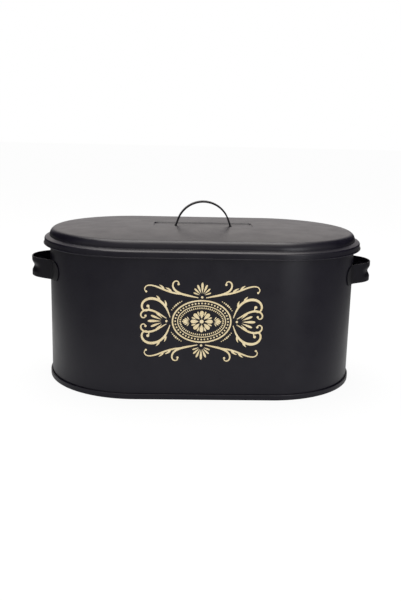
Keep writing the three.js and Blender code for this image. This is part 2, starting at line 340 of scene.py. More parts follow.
def mix_colour(share, first, second):
    """Mixes two colours. Between the share and the colours the node has five inputs of other kinds."""
    colours = [(*value, 1) if isinstance(value, tuple) else value for value in (first, second)]
    return add(share.id_data, "ShaderNodeMix", share, *[None] * 5, *colours, data_type="RGBA")[2]


def end_material(material, inputs):
    """Ends a material in a Principled shader with these inputs."""
    tree = material.node_tree
    shader = tree.nodes.new("ShaderNodeBsdfPrincipled")
    for name, value in inputs.items():
        put(value, shader.inputs[name])
    add(tree, "ShaderNodeOutputMaterial", shader.outputs[0])
    return material


print("material helpers ready")

# %% [markdown]
# ## Black powder coat
#
# The whole box is coated with one satin black powder, the handles a little duller. It is not a flat black:
# baked powder pools into a fine orange peel, the sheet under it is never quite flat, and the gloss varies
# from place to place. So the material has three bumps, for the sheet, the peel and a finer grain, and noise
# that moves the roughness and the colour. Convex edges are painted a shade paler, a painted highlight.
# Everything reads Object coordinates, so the grain keeps its real size on every piece.

# %% Powder coat material
# Size, depth and detail of each bump.
waves, peel, grain = (70 * MM, 0.35 * MM, 1.0), (1.3 * MM, 0.012 * MM, 2.0), (0.35 * MM, 0.004 * MM, 1.0)
cloud_size = 22 * MM
grain_roughness = 0.03
corner_gain, corner_share, corner_range = 3, 0.35, (0.53, 0.62)


def powder_coat(name, deep, pale, specular, roughness_range):
    """A coat that drifts between a deep and a pale colour, and between two roughnesses."""
    material, tree = new_material(name)
    place = add(tree, "ShaderNodeTexCoord")["Object"]
    cloud = noise(place, cloud_size, 4.0, 0.6)
    normal = None
    for size, depth, detail in (waves, peel, grain):
        lumps = noise(place, size, detail)
        normal = bump(lumps, depth, normal)
    fine = spread(lumps, -grain_roughness, grain_roughness)
    roughness = maths("ADD", spread(cloud, *roughness_range), fine)
    colour = mix_colour(spread(cloud, 0.0, 1.0), deep, pale)
    # Convex edges and corners, found by Pointiness, turn paler: a painted highlight on the rims and folds.
    corner = add(tree, "ShaderNodeNewGeometry")["Pointiness"]
    painted_rim_highlight = spread(corner, 0.0, corner_share, *corner_range)
    colour = mix_colour(painted_rim_highlight, colour, tuple(corner_gain * channel for channel in pale))
    inputs = {"Base Color": colour, "Roughness": roughness, "Normal": normal, "Specular IOR Level": specular}
    return end_material(material, inputs)


wall_colours = (0.0036, 0.0028, 0.0076), (0.0054, 0.0046, 0.0096)
handle_colours = (0.0022, 0.0018, 0.0040), (0.0034, 0.0028, 0.0060)
black_paint = powder_coat("black_paint", *wall_colours, specular=0.36, roughness_range=(0.29, 0.37))
handle_paint = powder_coat("handle_paint", *handle_colours, specular=0.3, roughness_range=(0.34, 0.44))
print("materials", black_paint.name, "and", handle_paint.name)

# %% [markdown]
# ## Sweeping a section round an oval
#
# The wall and the base are one section carried round the oval by the Curve to Mesh node. The path is a
# circle whose points are moved by their index: the first part of each half goes round an end, the rest
# straight along a side. It also gets its own normals, straight out from the oval, so that the section never
# leans where round meets straight. A section that starts on the oval's middle closes over it, as the base
# does.

# %% Oval sweep tree
def oval_sweep_tree():
    sizes, counts = ("Straight half", "Path radius"), ("Arc steps", "Straight steps")
    tree, given = new_tree("Sweep round an oval", sizes, counts)
    half_count = maths("ADD", given["Arc steps"], given["Straight steps"])
    index = add(tree, "GeometryNodeInputIndex")[0]
    half = maths("FLOOR", maths("DIVIDE", index, half_count))
    side = maths("MULTIPLY_ADD", half, -2.0, 1.0)
    station = maths("SUBTRACT", index, maths("MULTIPLY", half, half_count))
    turned = maths("MINIMUM", maths("DIVIDE", station, given["Arc steps"]), 1.0)
    angle = maths("MULTIPLY_ADD", turned, -math.pi, math.pi / 2)
    past = maths("MAXIMUM", maths("SUBTRACT", station, given["Arc steps"]), 0.0)
    gone = maths("DIVIDE", past, given["Straight steps"])
    centre = maths("MULTIPLY", given["Straight half"], maths("MULTIPLY_ADD", gone, -2.0, 1.0))
    across = maths("MULTIPLY", side, maths("COSINE", angle))
    along = maths("MULTIPLY", side, maths("SINE", angle))
    outward = vector(across, along, 0.0)
    middle = vector(maths("MULTIPLY", side, centre), 0.0, 0.0)
    radius = given["Path radius"]
    place = add(tree, "ShaderNodeVectorMath", outward, radius, middle, operation="MULTIPLY_ADD")[0]
    circle = add(tree, "GeometryNodeCurvePrimitiveCircle", maths("MULTIPLY", half_count, 2.0))[0]
    path = add(tree, "GeometryNodeSetPosition", circle, None, place)[0]
    path = add(tree, "GeometryNodeSetCurveNormal", path, None, outward, mode="FREE")[0]
    profile = add(tree, "GeometryNodeMeshToCurve", given["Geometry"])[0]
    swept = add(tree, "GeometryNodeCurveToMesh", path, profile)[0]
    return end_tree(swept, given)


oval_sweep = oval_sweep_tree()


def sweep_oval(name, section, closed, half_length, radius, steps, material):
    """Sweeps a section, given as (out, up), round an oval whose round ends have this radius."""
    host = new_object(name, [(out - radius, up, 0) for out, up in section], chain(section, closed))
    sizes = {"Straight half": half_length, "Path radius": radius}
    counts = {"Arc steps": steps[0], "Straight steps": steps[1]}
    return close_up(run_tree(host, oval_sweep, **sizes, **counts, Material=material))


print("tree", oval_sweep.name, "with", len(oval_sweep.nodes), "nodes")

# %% [markdown]
# ## The wall
#
# One sheet, from the hook that hangs in the base seam, up the side, and out and round in the rolled rim.
# The hook is hidden in the seam and the rim under the lid, but both show when the lid is off or the box is
# turned over.

# %% Wall
fold_gap = 0.12 * MM
hook_clearance = 0.3 * MM
seam_height = 6 * MM
layer_pitch = sheet + fold_gap
curl_turn = math.radians(290)
oval_steps = (96, 2)

fold_height = sheet / 2 + 2 * layer_pitch
wall_hook_end = seam_height - sheet - hook_clearance
wall_strip = (
    Strip(wall_line + 2 * layer_pitch, wall_hook_end, -right_angle)
    .run(wall_hook_end - fold_height)
    .bend(layer_pitch, -math.pi)
    .run(curl_height - fold_height)
    .bend(curl_radius, -curl_turn)
)
oval_sweep_sizes = (straight_half, end_radius, oval_steps, black_paint)
wall = sweep_oval("wall", wall_strip.outline(sheet), True, *oval_sweep_sizes)
seat(wall, "bin", "black_paint", "body_wall")

# %% [markdown]
# ## The side seam
#
# The wall's two edges hook into each other at the middle of the back and are pressed flat. What shows is a
# low ridge with rounded shoulders and, along one side, the fine line of the outer fold. Its section, seen
# from above, is raised ring by ring and rounded down to the wall at both ends.

# %% Side seam
ridge_width = 7 * MM
ridge_proud = 1 * MM
ridge_end_gap = 1.5 * MM
ridge_sink = 0.2 * MM
ridge_shoulder = 0.6 * MM
ridge_line_depth = 0.12 * MM
ridge_line_half = 0.08 * MM
ridge_line_share = 0.55
ridge_points = 6


def side_seam_ridge():
    """Rings from the bottom up. Each ring is the ridge's section, lower near the two ends."""
    bottom = seam_height + ridge_end_gap
    top = curl_height - curl_radius - ridge_end_gap
    half = ridge_width / 2
    line = -ridge_line_share * half
    turns = np.linspace(0, right_angle, ridge_points)
    rounds = ridge_shoulder * (1 - np.column_stack((np.cos(turns), np.sin(turns))))
    rings = []
    ends = [(bottom + inset, drop) for inset, drop in rounds]
    ends += [(top - inset, drop) for inset, drop in rounds[::-1]]
    for height, drop in ends:
        peak = ridge_proud - drop
        left = [(inset - half, max(peak - down, 0)) for inset, down in rounds]
        right = [(-x, out) for x, out in left[::-1]]
        fold = [(line - ridge_line_half, peak), (line, max(peak - ridge_line_depth, 0))]
        fold.append((line + ridge_line_half, peak))
        section = [(-half, -ridge_sink), *left, *fold, *right, (half, -ridge_sink)]
        rings.append([(-x, end_radius + out, height) for x, out in section])
    return rings


def loft(name, rings, material, capped=False):
    """Joins rings of points into a skin."""
    count = len(rings[0])
    points = [point for ring in rings for point in ring]
    faces = []
    for row in range(len(rings) - 1):
        for rank in range(count):
            after = (rank + 1) % count
            low, high = row * count, (row + 1) * count
            faces.append((low + rank, low + after, high + after, high + rank))
    if capped:
        last = (len(rings) - 1) * count
        faces += [tuple(range(count)), tuple(range(last, last + count))]
    made = new_object(name, points, faces=faces)
    made.data.materials.append(material)
    return made


side_seam = close_up(loft("wall_side_seam", side_seam_ridge(), black_paint, capped=True))
seat(side_seam, "bin", "black_paint", "body_wall")

# %% [markdown]
# ## The base
#
# A panel with a low oval bead that stiffens it, a short wall down to the table, and the fold that hooks
# over the wall's hook. Its section starts on the oval's middle, so the sweep closes it.

# %% Base
base_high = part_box("base_panel")[1]
panel_height = 4 * MM
panel_bend = 1.2 * MM
bead_inset = 16 * MM
bead_width = 7 * MM
bead_rise = 1.2 * MM
bead_turn = math.radians(30)
bead_bend = 1.2 * MM

chuck_line = wall_line - layer_pitch
panel_line = panel_height + sheet / 2
seam_top = base_high.z - sheet / 2
base_hook_end = sheet + layer_pitch + hook_clearance
bead_start = chuck_line - bead_inset - bead_width / 2
bead_cut = bead_bend * math.tan(bead_turn / 2)
bead_slope = bead_rise / math.sin(bead_turn) - 2 * bead_cut
bead_level = bead_width - 2 * bead_rise / math.tan(bead_turn) - 2 * bead_cut
base_strip = (
    Strip(0, panel_line, 0)
    .run(bead_start - bead_cut)
    .bend(bead_bend, bead_turn)
    .run(bead_slope)
    .bend(bead_bend, -bead_turn)
    .run(bead_level)
    .bend(bead_bend, -bead_turn)
    .run(bead_slope)
    .bend(bead_bend, bead_turn)
    .run(chuck_line - panel_bend - bead_start - bead_width - bead_cut)
    .bend(panel_bend, -right_angle)
    .run(panel_line - panel_bend - sheet / 2 - layer_pitch)
    .bend(layer_pitch, right_angle)
    .run(2 * layer_pitch)
    .bend(layer_pitch, right_angle)
    .run(seam_top - 2 * layer_pitch - sheet / 2)
    .bend(layer_pitch, math.pi)
    .run(seam_top - layer_pitch - base_hook_end)
)
base = sweep_oval("base", base_strip.outline(sheet), False, *oval_sweep_sizes)
seat(base, "bin", "black_paint", "base_panel")

# %% [markdown]
# ## The lid
#
# The lid is pressed from one sheet, but its plan changes on the way out: the recess is a rounded rectangle
# and the edge is an oval. So it is lofted instead of swept. Each ring is a rounded rectangle, given by the
# centre of its corners and their radius, and an oval is the same with no width. All rings have the same
# stations, so they join one to one, and those on the long sides stand where the two slots need their edges.
# The rings make the middle of the sheet, and Solidify gives it its thickness.

# %% Lid sizes
lid_low, lid_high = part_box("lid_panel")
lid_rest = 0.3 * MM
lid_clearance = 1.8 * MM
crown_flat = 20 * MM
crown_turn = math.radians(5.8)
dome_side = 0.15 * MM
dome_overhang = 0.3 * MM
valley_radius = 1 * MM
ledge_fall = math.radians(22)
ledge_corner_radius = 1.6 * MM
hem_radius = 0.5 * MM
hem_turn = math.radians(280)
recess_half = (56 * MM, 18 * MM)
recess_corner = 8 * MM
recess_depth = 1.2 * MM
recess_bend = 0.8 * MM
recess_turn = math.radians(45)
recess_brim = 1.4 * MM
crown_steps = 16
dome_step = bend_step / 3

lid_top = lid_high.z
dome_line = end_radius + dome_overhang - sheet / 2
skirt_line = end_radius + 2 * curl_radius + lid_clearance + sheet / 2
hem_line = lid_low.z + sheet / 2 + hem_radius
recess_floor = lid_top - recess_depth
print("lid from", round(lid_low.z, 4), "to", round(lid_top, 4))

# %% [markdown]
# The crown and the rounded edge of the dome are two arcs that meet at a common slope and end at the dome's
# foot. Their radii follow from how far out and how far down the two reach together. Below the dome the
# sheet runs out along a ledge that falls outwards. It lies on the rolled rim like a cone on a ring, which
# centres the lid, so its line is a tangent round the rim's curl.

# %% Lid sections
def ledge_height(out):
    """The height of the ledge's middle line where it is this far out."""
    seat_height = curl_height + (curl_radius + sheet + lid_rest) / math.cos(ledge_fall)
    return seat_height - math.tan(ledge_fall) * (out - wall_line - curl_radius)


def lid_strip():
    """The lid from the edge of its level middle to the end of the hem."""
    ledge_bend = right_angle - ledge_fall
    valley_cut = valley_radius * math.tan(ledge_bend / 2)
    corner_cut = ledge_corner_radius * math.tan(ledge_bend / 2)
    top_line = lid_top - sheet / 2
    across = dome_line - crown_flat
    down = top_line - ledge_height(dome_line) - valley_cut - dome_side
    sine, cosine = math.sin(crown_turn), math.cos(crown_turn)
    crown_radius = (across * cosine - down * (1 - sine)) / (sine + cosine - 1)
    edge_radius = (down * sine - across * (1 - cosine)) / (sine + cosine - 1)
    return (
        Strip(crown_flat, top_line, 0)
        .bend(crown_radius, -crown_turn, crown_turn / crown_steps)
        .bend(edge_radius, crown_turn - right_angle, dome_step)
        .run(dome_side)
        .bend(valley_radius, ledge_bend)
        .run((skirt_line - dome_line) / math.cos(ledge_fall) - valley_cut - corner_cut)
        .bend(ledge_corner_radius, -ledge_bend)
        .run(ledge_height(skirt_line) - corner_cut - hem_line)
        .bend(hem_radius, hem_turn)
    )


def recess_strip():
    """The recess from the centre of its corners out: floor, sloping wall and brim."""
    sine, cosine = math.sin(recess_turn), math.cos(recess_turn)
    slope = (recess_depth - 2 * recess_bend * (1 - cosine)) / sine
    reach = 2 * recess_bend * sine + slope * cosine
    return (
        Strip(0, recess_floor - sheet / 2, 0)
        .run(recess_corner - reach)
        .bend(recess_bend, recess_turn)
        .run(slope)
        .bend(recess_bend, -recess_turn)
        .run(recess_brim)
    )


print("lid section", len(lid_strip().points), "points, recess section", len(recess_strip().points))

# %% [markdown]
# The handle's legs pass through two slots in the recess's floor. Their places follow from the handle: its
# span, the slope of its legs and the bend of its feet.

# %% Lid handle sizes and slot places
strap_width = 8 * MM
strap_thickness = 1.8 * MM
handle_low, handle_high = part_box("lid_handle")
handle_span = 64 * MM
leg_turn = math.radians(70)
foot_radius = 1.2 * MM
foot_length = handle_high.x - handle_span / 2
slot_clearance = 0.4 * MM
foot_line = handle_low.z + strap_thickness / 2

leg_slope = math.tan(leg_turn)
leg_rise = recess_floor - sheet / 2 - foot_line - foot_radius * (1 - math.cos(leg_turn))
leg_place = handle_span / 2 - foot_radius * math.sin(leg_turn) - leg_rise / leg_slope
leg_across = strap_thickness / math.sin(leg_turn) + sheet / leg_slope
slot_near = leg_place - leg_across / 2 - slot_clearance
slot_far = leg_place + leg_across / 2 + slot_clearance
slot_half_width = strap_width / 2 + slot_clearance
print("slots from x", round(slot_near, 4), "to", round(slot_far, 4))

# %% [markdown]
# Now the rings can be drawn. The recess's rings keep their corners' centres, so that its wall is as steep
# at the corners as along the sides. The floor inside them is cut into flat faces that leave the two slots
# open.

# %% Lid
end_steps = 96
no_turn = 1e-9


def ring(half_length, half_width, radius, height):
    """A rounded rectangle: round one end, back along a side past the slots, and the same again."""
    turns = [math.pi * step / end_steps - right_angle for step in range(end_steps + 1)]
    half = []
    for turn in turns:
        corner = half_width * (0 if abs(turn) < no_turn else math.copysign(1, turn))
        half.append((half_length + radius * math.cos(turn), corner + radius * math.sin(turn)))
    half += [(place, half_width + radius) for place in (slot_far, slot_near, -slot_near, -slot_far)]
    return [(x, y, height) for x, y in half] + [(-x, -y, height) for x, y in half]


def recess_floor_faces(half_length, half_width, height):
    """The floor between the corners' centres, with the two slots left open."""
    side = [(half_length, -half_width), (half_length, 0), (half_length, half_width)]
    slot_end = [(slot_far, slot_half_width), (slot_far, -slot_half_width)]
    end = [(slot_far, -half_width), *side, (slot_far, half_width), *slot_end]
    middle = [(slot_near, -half_width), (slot_near, -slot_half_width), (slot_near, slot_half_width)]
    middle += [(slot_near, half_width)]
    middle += [(-x, -y) for x, y in middle]
    strips = []
    for low, high in ((slot_half_width, half_width), (-half_width, -slot_half_width)):
        strips.append([(slot_near, low), (slot_far, low), (slot_far, high), (slot_near, high)])
    outlines = [end, *strips]
    outlines += [[(-x, -y) for x, y in outline] for outline in outlines]
    outlines.append(middle)
    return [[(x, y, height) for x, y in outline] for outline in outlines]


def lid_shell():
    corners = (recess_half[0] - recess_corner, recess_half[1] - recess_corner)
    recess_line = recess_strip().points
    rings = [ring(*corners, out, up) for out, up in recess_line]
    rings += [ring(straight_half, 0, out, up) for out, up in lid_strip().points]
    shell = loft("lid", rings, black_paint)
    with edited(shell.data) as net:
        for outline in recess_floor_faces(*corners, recess_line[0][1]):
            net.faces.new([net.verts.new(point) for point in outline])
        weld(net)
    thicken = shell.modifiers.new("thickness", "SOLIDIFY")
    thicken.thickness = sheet
    thicken.offset = 0
    thicken.use_even_offset = True
    return close_up(plain(shell))


seat(lid_shell(), "lid", "black_paint", "lid_panel")

# %% [markdown]
# ## Straps: flat blanks, then bent
#
# Both kinds of handle start as a flat strap with half-round ends and eased edges, as the real ones do. The
# blank is the oval sweep laid flat: its section starts on the strap's middle, runs out to the edge, round
# it and back underneath. To bend it, each vertex goes to the point that far along a bent line, and keeps
# its height above the sheet and its place across the strap.

# %% Strap helpers
edge_ease = 0.35 * MM
ease_steps = 5


def strap_blank(name, length, width, thickness, row, steps):
    """A flat strap along X, with rows this far apart across it, and steps round its ends and along it."""
    half_width = width / 2
    ease = min(edge_ease, thickness / 2)
    flat = np.arange(0, half_width - ease, row)
    rim = [(half_width - ease, thickness / 2)]
    for turn in np.linspace(0, right_angle, ease_steps + 1)[1:]:
        rim.append((half_width - ease + ease * math.sin(turn), thickness / 2 - ease + ease * math.cos(turn)))
    upper = [(out, thickness / 2) for out in flat] + rim
    lower = [(out, -up) for out, up in reversed(upper)]
    section = upper + (lower if thickness / 2 > ease else lower[1:])
    return sweep_oval(name, section, False, length / 2 - half_width, half_width, steps, handle_paint)


def places_along(line, distances):
    """The points and the left-hand normals at distances along a line of points."""
    steps = np.linalg.norm(np.diff(line, axis=0), axis=1)
    gone = np.concatenate(([0], np.cumsum(steps)))
    ways = np.gradient(line, gone, axis=0)
    ways /= np.linalg.norm(ways, axis=1)[:, None]
    point = np.column_stack([np.interp(distances, gone, line[:, axis]) for axis in (0, 1)])
    way = np.column_stack([np.interp(distances, gone, ways[:, axis]) for axis in (0, 1)])
    way /= np.linalg.norm(way, axis=1)[:, None]
    return point, np.column_stack((-way[:, 1], way[:, 0]))


def vertices_of(piece):
    found = np.empty(3 * len(piece.data.vertices))
    piece.data.vertices.foreach_get("co", found)
    return found.reshape(-1, 3)


def move_vertices(piece, places):
    piece.data.vertices.foreach_set("co", places.astype(np.float32).ravel())
    piece.data.update()
    return close_up(piece)


def blank_along(name, line, *sizes):
    """A blank as long as a line, its flat places, and the line's points and normals that they come to."""
    length = np.linalg.norm(np.diff(line, axis=0), axis=1).sum()
    strap = strap_blank(name, length, *sizes)
    flat = vertices_of(strap)
    return strap, flat.T, *places_along(line, flat[:, 0] + length / 2)


print("strap helpers ready")

# %% [markdown]
# ## The lid's handle
#
# A flat strap arched over the recess. Its legs go through the slots and its feet fold out under the lid,
# where they are spot-welded. The arch's radius and the legs' length follow from the span, the height and
# the slope.

# %% Lid handle
handle_row = 0.5 * MM
handle_steps = (24, 300)
arch_step = math.radians(1)
foot_step = bend_step / 2


def lid_handle_line():
    across = handle_span / 2 - foot_radius * math.sin(leg_turn)
    arch_top = handle_high.z - strap_thickness / 2
    rise = arch_top - foot_line - foot_radius * (1 - math.cos(leg_turn))
    sine, cosine = math.sin(leg_turn), math.cos(leg_turn)
    arch_radius = (across * sine - rise * cosine) / (1 - cosine)
    leg = rise * sine / (1 - cosine) - across
    strip = (
        Strip(-handle_span / 2 - foot_length, foot_line, 0)
        .run(foot_length)
        .bend(foot_radius, leg_turn, foot_step)
        .run(leg)
        .bend(arch_radius, -2 * leg_turn, arch_step)
        .run(leg)
        .bend(foot_radius, leg_turn, foot_step)
        .run(foot_length)
    )
    return np.array(strip.points)


def lid_handle():
    sizes = (strap_width, strap_thickness, handle_row, handle_steps)
    strap, (_, across, out), point, normal = blank_along("lid_strap_handle", lid_handle_line(), *sizes)
    bent = point + normal * out[:, None]
    return move_vertices(strap, np.column_stack((bent[:, 0], across, bent[:, 1])))


seat(lid_handle(), "lid", "handle_paint", "lid_handle")

# %% [markdown]
# ## The side handles
#
# Each is a blank bent round the oval end, off it at a soft root bend, out along a leg and round to the
# grip. A groove is pressed along the middle of the grip and fades out at both ends. The left handle is the
# right one turned half round.

# %% Side handles
grip_low, grip_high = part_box("side_handle_right")
grip_thickness = 1 * MM
weld_gap = 0.1 * MM
grip_foot_tip = 56 * MM
grip_root = 34.5 * MM
grip_root_bend = 4.5 * MM
grip_lean = math.radians(32)
grip_leg = 8 * MM
groove_width = 13 * MM
groove_depth = 2.3 * MM
groove_run = 68 * MM
groove_fade = 20 * MM
grip_row = 0.4 * MM
grip_steps = (32, 220)
foot_points, root_points, grip_points = 60, 30, 80


def quadratic(start, control, end, count):
    """A curve that leaves its start towards the control point and reaches its end from there."""
    share = np.linspace(0, 1, count)[1:, None]
    return (1 - share) ** 2 * start + 2 * share * (1 - share) * control + share**2 * end


def grip_line():
    """The strap's middle line in plan, from the front foot's tip to the back foot's."""
    foot_radius_line = end_radius + weld_gap + grip_thickness / 2
    turns = np.linspace(grip_foot_tip, grip_root + grip_root_bend, foot_points) / end_radius
    foot = np.array([(straight_half, 0) + foot_radius_line * unit(turn) for turn in turns])
    root = (straight_half, 0) + foot_radius_line * unit(grip_root / end_radius)
    way = unit(-grip_lean)
    outside = grip_high.x - grip_thickness / 2
    leg_start, leg_end = (root + way * reach for reach in (grip_root_bend, grip_root_bend + grip_leg))
    elbow = root + way * (outside - root[0]) / way[0]
    bend = quadratic(foot[-1], root, leg_start, root_points)
    grip = quadratic(leg_end, elbow, np.array((outside, 0)), grip_points)
    half = np.vstack((foot, bend, leg_end, grip))
    return np.vstack((half * (1, -1), half[-2::-1]))


def groove(along, up):
    """How deep the groove is at a place on the strap."""
    across = np.minimum(np.abs(up) / (groove_width / 2), 1)
    fade = np.clip((np.abs(along) - (groove_run / 2 - groove_fade)) / groove_fade, 0, 1)
    return groove_depth * (1 + np.cos(math.pi * across)) * (1 + np.cos(math.pi * fade)) / 4


def side_handle(name, turn):
    sizes = (grip_high.z - grip_low.z, grip_thickness, grip_row, grip_steps)
    strap, (along, up, out), point, normal = blank_along(name, grip_line(), *sizes)
    plan = point - normal * (out - groove(along, up))[:, None]
    places = np.column_stack((turn * plan, (grip_low.z + grip_high.z) / 2 + up))
    return move_vertices(strap, places)


for name, node, turn in (("grip_right", "side_handle_right", 1), ("grip_left", "side_handle_left", -1)):
    seat(side_handle(name, turn), "bin", "handle_paint", node)

# %% [markdown]
# ## Gold print: its paint
#
# Such tins are decorated with one screen-printed colour, a matt pale gold. The ink is thicker in some
# places than in others, so its colour drifts between a lighter and a browner gold, and its surface has a
# fine grain from the screen.

# %% Gold print material
drift_size = 9 * MM
screen_size, screen_depth = 0.5 * MM, 0.01 * MM
screen_share, screen_range = 0.35, (0.55, 0.75)
gold_roughness = (0.46, 0.6)
thick_gold, thin_gold, worn_gold = (0.77, 0.66, 0.43), (0.69, 0.56, 0.315), (0.54, 0.43, 0.24)


def gold_ink():
    material, tree = new_material("gold_print")
    place = add(tree, "ShaderNodeTexCoord")["Object"]
    drift = noise(place, drift_size, detail=3.0, roughness=0.6)
    grain = noise(place, screen_size, detail=2.0)
    colour = mix_colour(spread(drift, 0.0, 1.0), thick_gold, thin_gold)
    colour = mix_colour(spread(grain, 0.0, screen_share, *screen_range), colour, worn_gold)
    roughness = spread(grain, *gold_roughness)
    inputs = {"Base Color": colour, "Roughness": roughness, "Normal": bump(grain, screen_depth)}
    return end_material(material, {**inputs, "Metallic": 0.15, "Specular IOR Level": 0.3})


gold_print = gold_ink()
print("material", gold_print.name)

# %% [markdown]
# ## Gold print: its lines
#
# The ornament is a medallion between scrolls. A hand-drawn scroll has a simple rule behind it: its bend
# grows steadily towards the end, which winds it into a volute. So each scroll is followed by its bend from
# a start and a heading, leaves branch off it at shares of its length, and the widths swell and fade along
# it. One quarter is drawn, in millimetres from the middle of the print, and mirrored. Strokes that cross
# have a level each, because two top faces at one height would flicker.

# %% Print lines
def scroll(start, heading, length, *bends, count=60):
    """Places along a curve whose bend, in radians per millimetre, passes through these values."""
    places = [np.array(start, float)]
    angle = math.radians(heading)
    step = length / count
    for share in (np.arange(count) + 0.5) / count:
        turn = step * np.interp(share, np.linspace(0, 1, len(bends)), bends)
        places.append(places[-1] + step * unit(angle + turn / 2))
        angle += turn
    return np.array(places)


def branch(parent, share, turn, length, *bends):
    """A scroll that leaves its parent at a share of its length, turned off it by this many degrees."""
    rank = round(share * (len(parent) - 2))
    way = parent[rank + 1] - parent[rank]
    return scroll(parent[rank], math.degrees(math.atan2(way[1], way[0])) + turn, length, *bends)


def oval_arc(centre, half_length, half_height, start, sweep, count=240):
    turns = np.radians(np.linspace(start, start + sweep, count + 1))
    if abs(sweep) == 360:
        turns = turns[:-1]
    return centre + np.column_stack((half_length * np.cos(turns), half_height * np.sin(turns)))


leaf_level, ring_level, bud_level = 0.045, 0.065, 0.07
leaf_bends, side_leaf_bends, leaf_widths = (-0.05, -0.12), (-0.06, -0.12), (0.5, 2.0, 1.6, 0.3)
quarters = ((1, 1), (-1, 1), (1, -1), (-1, -1))
side_scroll = scroll((32.5, 4.0), 72, 58, 0.0, -0.050, -0.068, -0.15, -0.42)
low_scroll = scroll((36.2, 3.0), 30, 39, 0.02, -0.02, -0.06, -0.2, -0.55)
top_scroll = scroll((4.0, 25.0), 12, 42, 0.0, 0.0, 0.05, 0.17, 0.5)
corner_scroll = branch(top_scroll, 0.30, -2, 49, -0.015, 0.02, 0.008, -0.05, -0.42)
stems = (
    (side_scroll, (0.8, 2.2, 2.8, 2.0, 0.9), 3.0, 0.05),
    (low_scroll, (0.7, 1.8, 2.2, 1.6, 0.9), 2.4, 0.055),
    (top_scroll, (0.8, 2.0, 2.2, 1.6, 0.9), 2.4, 0.06),
    (corner_scroll, (0.8, 1.8, 1.8, 1.4, 0.8), 2.2, 0.055),
)
leaves = [
    branch(corner_scroll, 0.30, 38, 8.5, *leaf_bends),
    branch(corner_scroll, 0.48, 38, 7.5, *leaf_bends),
    branch(side_scroll, 0.20, 40, 7.5, *side_leaf_bends),
    branch(side_scroll, 0.36, 40, 7.0, *side_leaf_bends),
]
rings = ((30.0, 22.0, 1.5), (24.6, 16.6, 0.9))

strokes = [(places * signs, widths, level) for places, widths, _, level in stems for signs in quarters]
strokes += [(places * signs, leaf_widths, leaf_level) for places in leaves for signs in quarters]
strokes += [(oval_arc((0, 0), a, b, 0, 360), (width,), ring_level) for a, b, width in rings]
print(len(strokes), "strokes of", sum(len(places) for places, _, _ in strokes), "points")

# %% [markdown]
# A tree turns these lines into flat strokes: Curve to Mesh sweeps a square along them, scaled by the width
# stored on each point. Then every upper corner is set to the level stored there, and every lower one just
# below the wall's face.

# %% Stroke tree
def stroke_tree():
    tree, given = new_tree("Flat tapered strokes", ("Sink",))
    width = add(tree, "GeometryNodeInputNamedAttribute", "width")[0]
    level = add(tree, "GeometryNodeInputNamedAttribute", "level")[0]
    path = add(tree, "GeometryNodeMeshToCurve", given["Geometry"])[0]
    path = add(tree, "GeometryNodeSetCurveNormal", path, mode="Z_UP")[0]
    square = add(tree, "GeometryNodeCurvePrimitiveQuadrilateral", 1.0, 1.0)[0]
    swept = add(tree, "GeometryNodeCurveToMesh", path, square, width, True)[0]
    place = split(add(tree, "GeometryNodeInputPosition")[0])
    upper = maths("GREATER_THAN", place["Z"], 0.0)
    height = maths("MULTIPLY", upper, maths("ADD", level, given["Sink"]))
    height = maths("SUBTRACT", height, given["Sink"])
    flat = vector(place["X"], place["Y"], height)
    swept = add(tree, "GeometryNodeSetPosition", swept, None, flat)[0]
    return end_tree(swept, given)


flat_strokes = stroke_tree()
print("tree", flat_strokes.name, "with", len(flat_strokes.nodes), "nodes")

# %% [markdown]
# A second tree sets motifs along a line, each turned square to it. A motif is a drop, made from a circle by
# narrowing it towards its base. Without the narrowing it is a bead.

# %% Motif tree
round_corners = 24
bead_swell, drop_swell = 0.5, 0.3


def motif_tree():
    sizes = ("Length", "Width", "Narrowing", "Base", "End size", "Turn", "Level", "Sink")
    tree, given = new_tree("Motifs along a line", sizes, ("Count",))
    circle = add(tree, "GeometryNodeCurvePrimitiveCircle", round_corners)[0]
    place = split(add(tree, "GeometryNodeInputPosition")[0])
    gone = maths("MULTIPLY_ADD", place["X"], 0.5, 0.5)
    narrow = maths("POWER", gone, given["Narrowing"])
    swell = maths("MULTIPLY_ADD", given["Narrowing"], drop_swell, bead_swell)
    broad = maths("MULTIPLY", given["Width"], swell)
    across = maths("MULTIPLY", maths("MULTIPLY", place["Y"], narrow), broad)
    along = maths("MULTIPLY_ADD", gone, given["Length"], given["Base"])
    outline = vector(along, across, 0.0)
    outline = add(tree, "GeometryNodeSetPosition", circle, None, outline)[0]
    under = add(tree, "GeometryNodeFillCurve", outline, mode="NGONS")[0]
    rise = maths("ADD", given["Level"], given["Sink"])
    upper = add(tree, "GeometryNodeExtrudeMesh", under, None, None, rise, False)[0]
    whole = tree.nodes.new("GeometryNodeJoinGeometry")
    for part in (upper, add(tree, "GeometryNodeFlipFaces", under)[0]):
        tree.links.new(part, whole.inputs[0])
    depth = vector(0.0, 0.0, maths("MULTIPLY", given["Sink"], -1.0))
    motif = add(tree, "GeometryNodeTransform", whole.outputs[0], depth)[0]
    line = add(tree, "GeometryNodeMeshToCurve", given["Geometry"])[0]
    spots = add(tree, "GeometryNodeCurveToPoints", line, given["Count"])
    tangent = split(spots["Tangent"])
    angle = maths("ADD", maths("ARCTAN2", tangent["Y"], tangent["X"]), given["Turn"])
    turned = vector(0.0, 0.0, angle)
    turned = add(tree, "FunctionNodeEulerToRotation", turned)[0]
    rank = add(tree, "GeometryNodeInputIndex")[0]
    share = maths("DIVIDE", rank, maths("SUBTRACT", given["Count"], 1.0))
    off = maths("ABSOLUTE", maths("MULTIPLY_ADD", share, 2.0, -1.0))
    size = maths("MULTIPLY_ADD", off, maths("SUBTRACT", given["End size"], 1.0), 1.0)
    size = vector(size, size, 1.0)
    inputs = (spots["Points"], None, motif, None, None, turned, size)
    placed = add(tree, "GeometryNodeInstanceOnPoints", *inputs)[0]
    return end_tree(placed, given)


